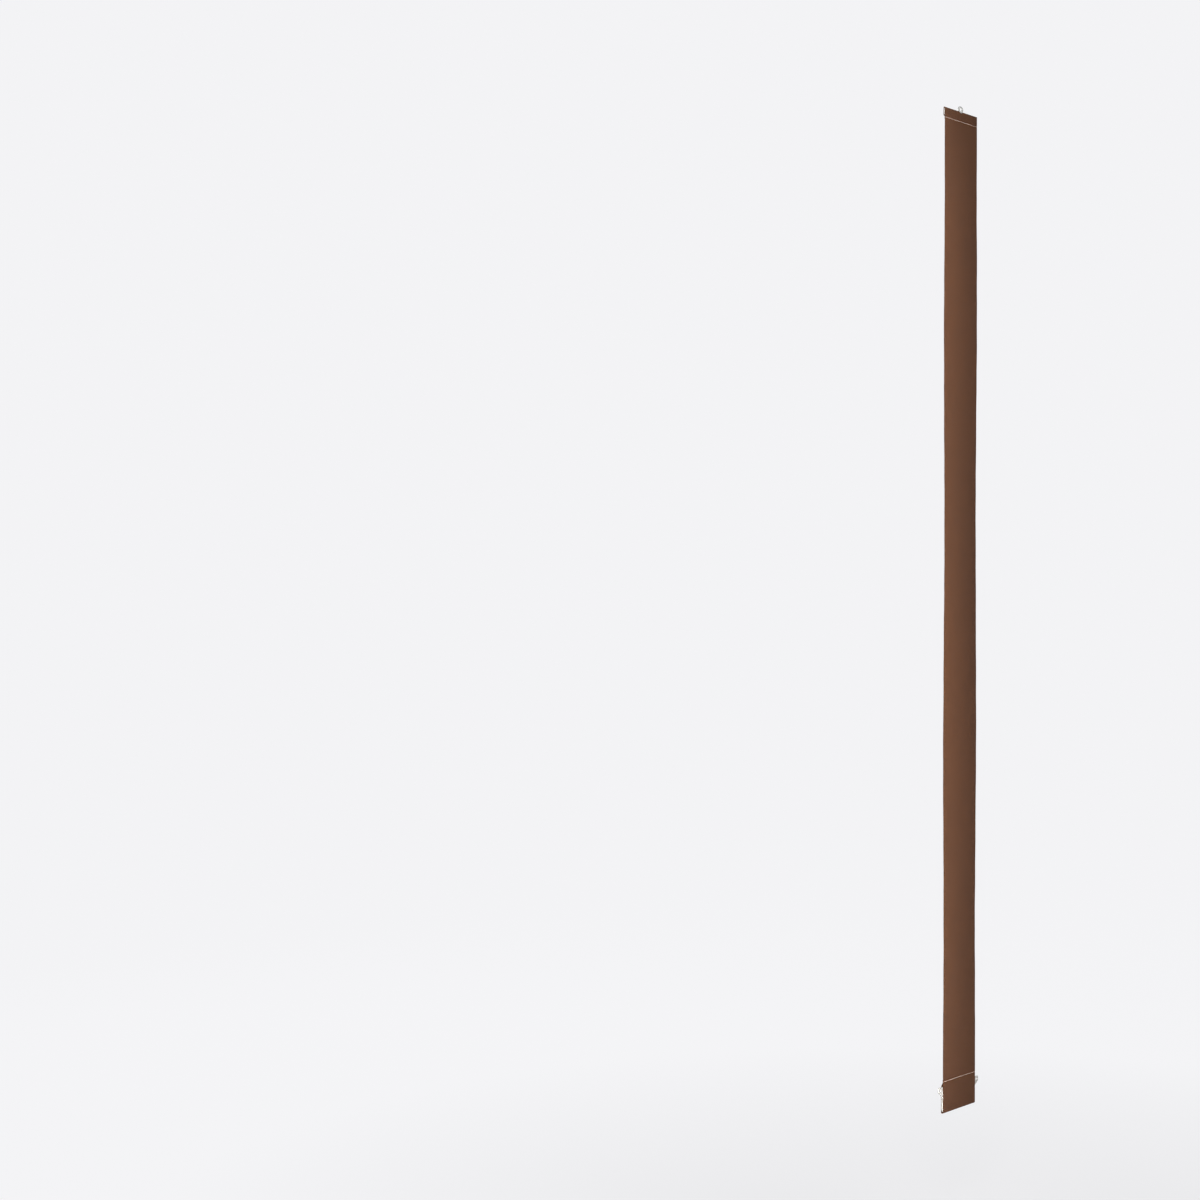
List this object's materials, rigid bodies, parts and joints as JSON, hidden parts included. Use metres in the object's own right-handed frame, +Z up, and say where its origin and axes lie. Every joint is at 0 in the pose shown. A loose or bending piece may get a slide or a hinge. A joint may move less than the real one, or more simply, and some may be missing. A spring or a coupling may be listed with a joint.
{
  "type": "vertical blind vane",
  "caption": "Tall narrow woven cloth vane for a vertical blind, with sewn end pockets that hold a hanger with an eye and a flat weight with chain clips.",
  "frame": {"origin": "where the hanger's eye bears on its hook: top of the eye's hole, in the middle of the vane's width and of the hanger's thickness", "axes": "+Z up along the hanging vane, X along its width, +Y towards its back, where the pocket flaps are"},
  "size_m": [0.156, 0.0053, 1.9856],
  "materials": {
    "cloth": "plain-woven polyester, matt, brown",
    "hanger_plastic": "moulded, off-white, satin",
    "weight_plastic": "moulded, off-white, satin",
    "thread": "spun sewing thread, pinkish cream"
  },
  "bodies": {
    "root": {"fabric_vane": "cloth", "top_hanger": "hanger_plastic", "bottom_weight": "weight_plastic", "top_stitching": "thread", "bottom_stitching": "thread"}
  },
  "joints": []
}
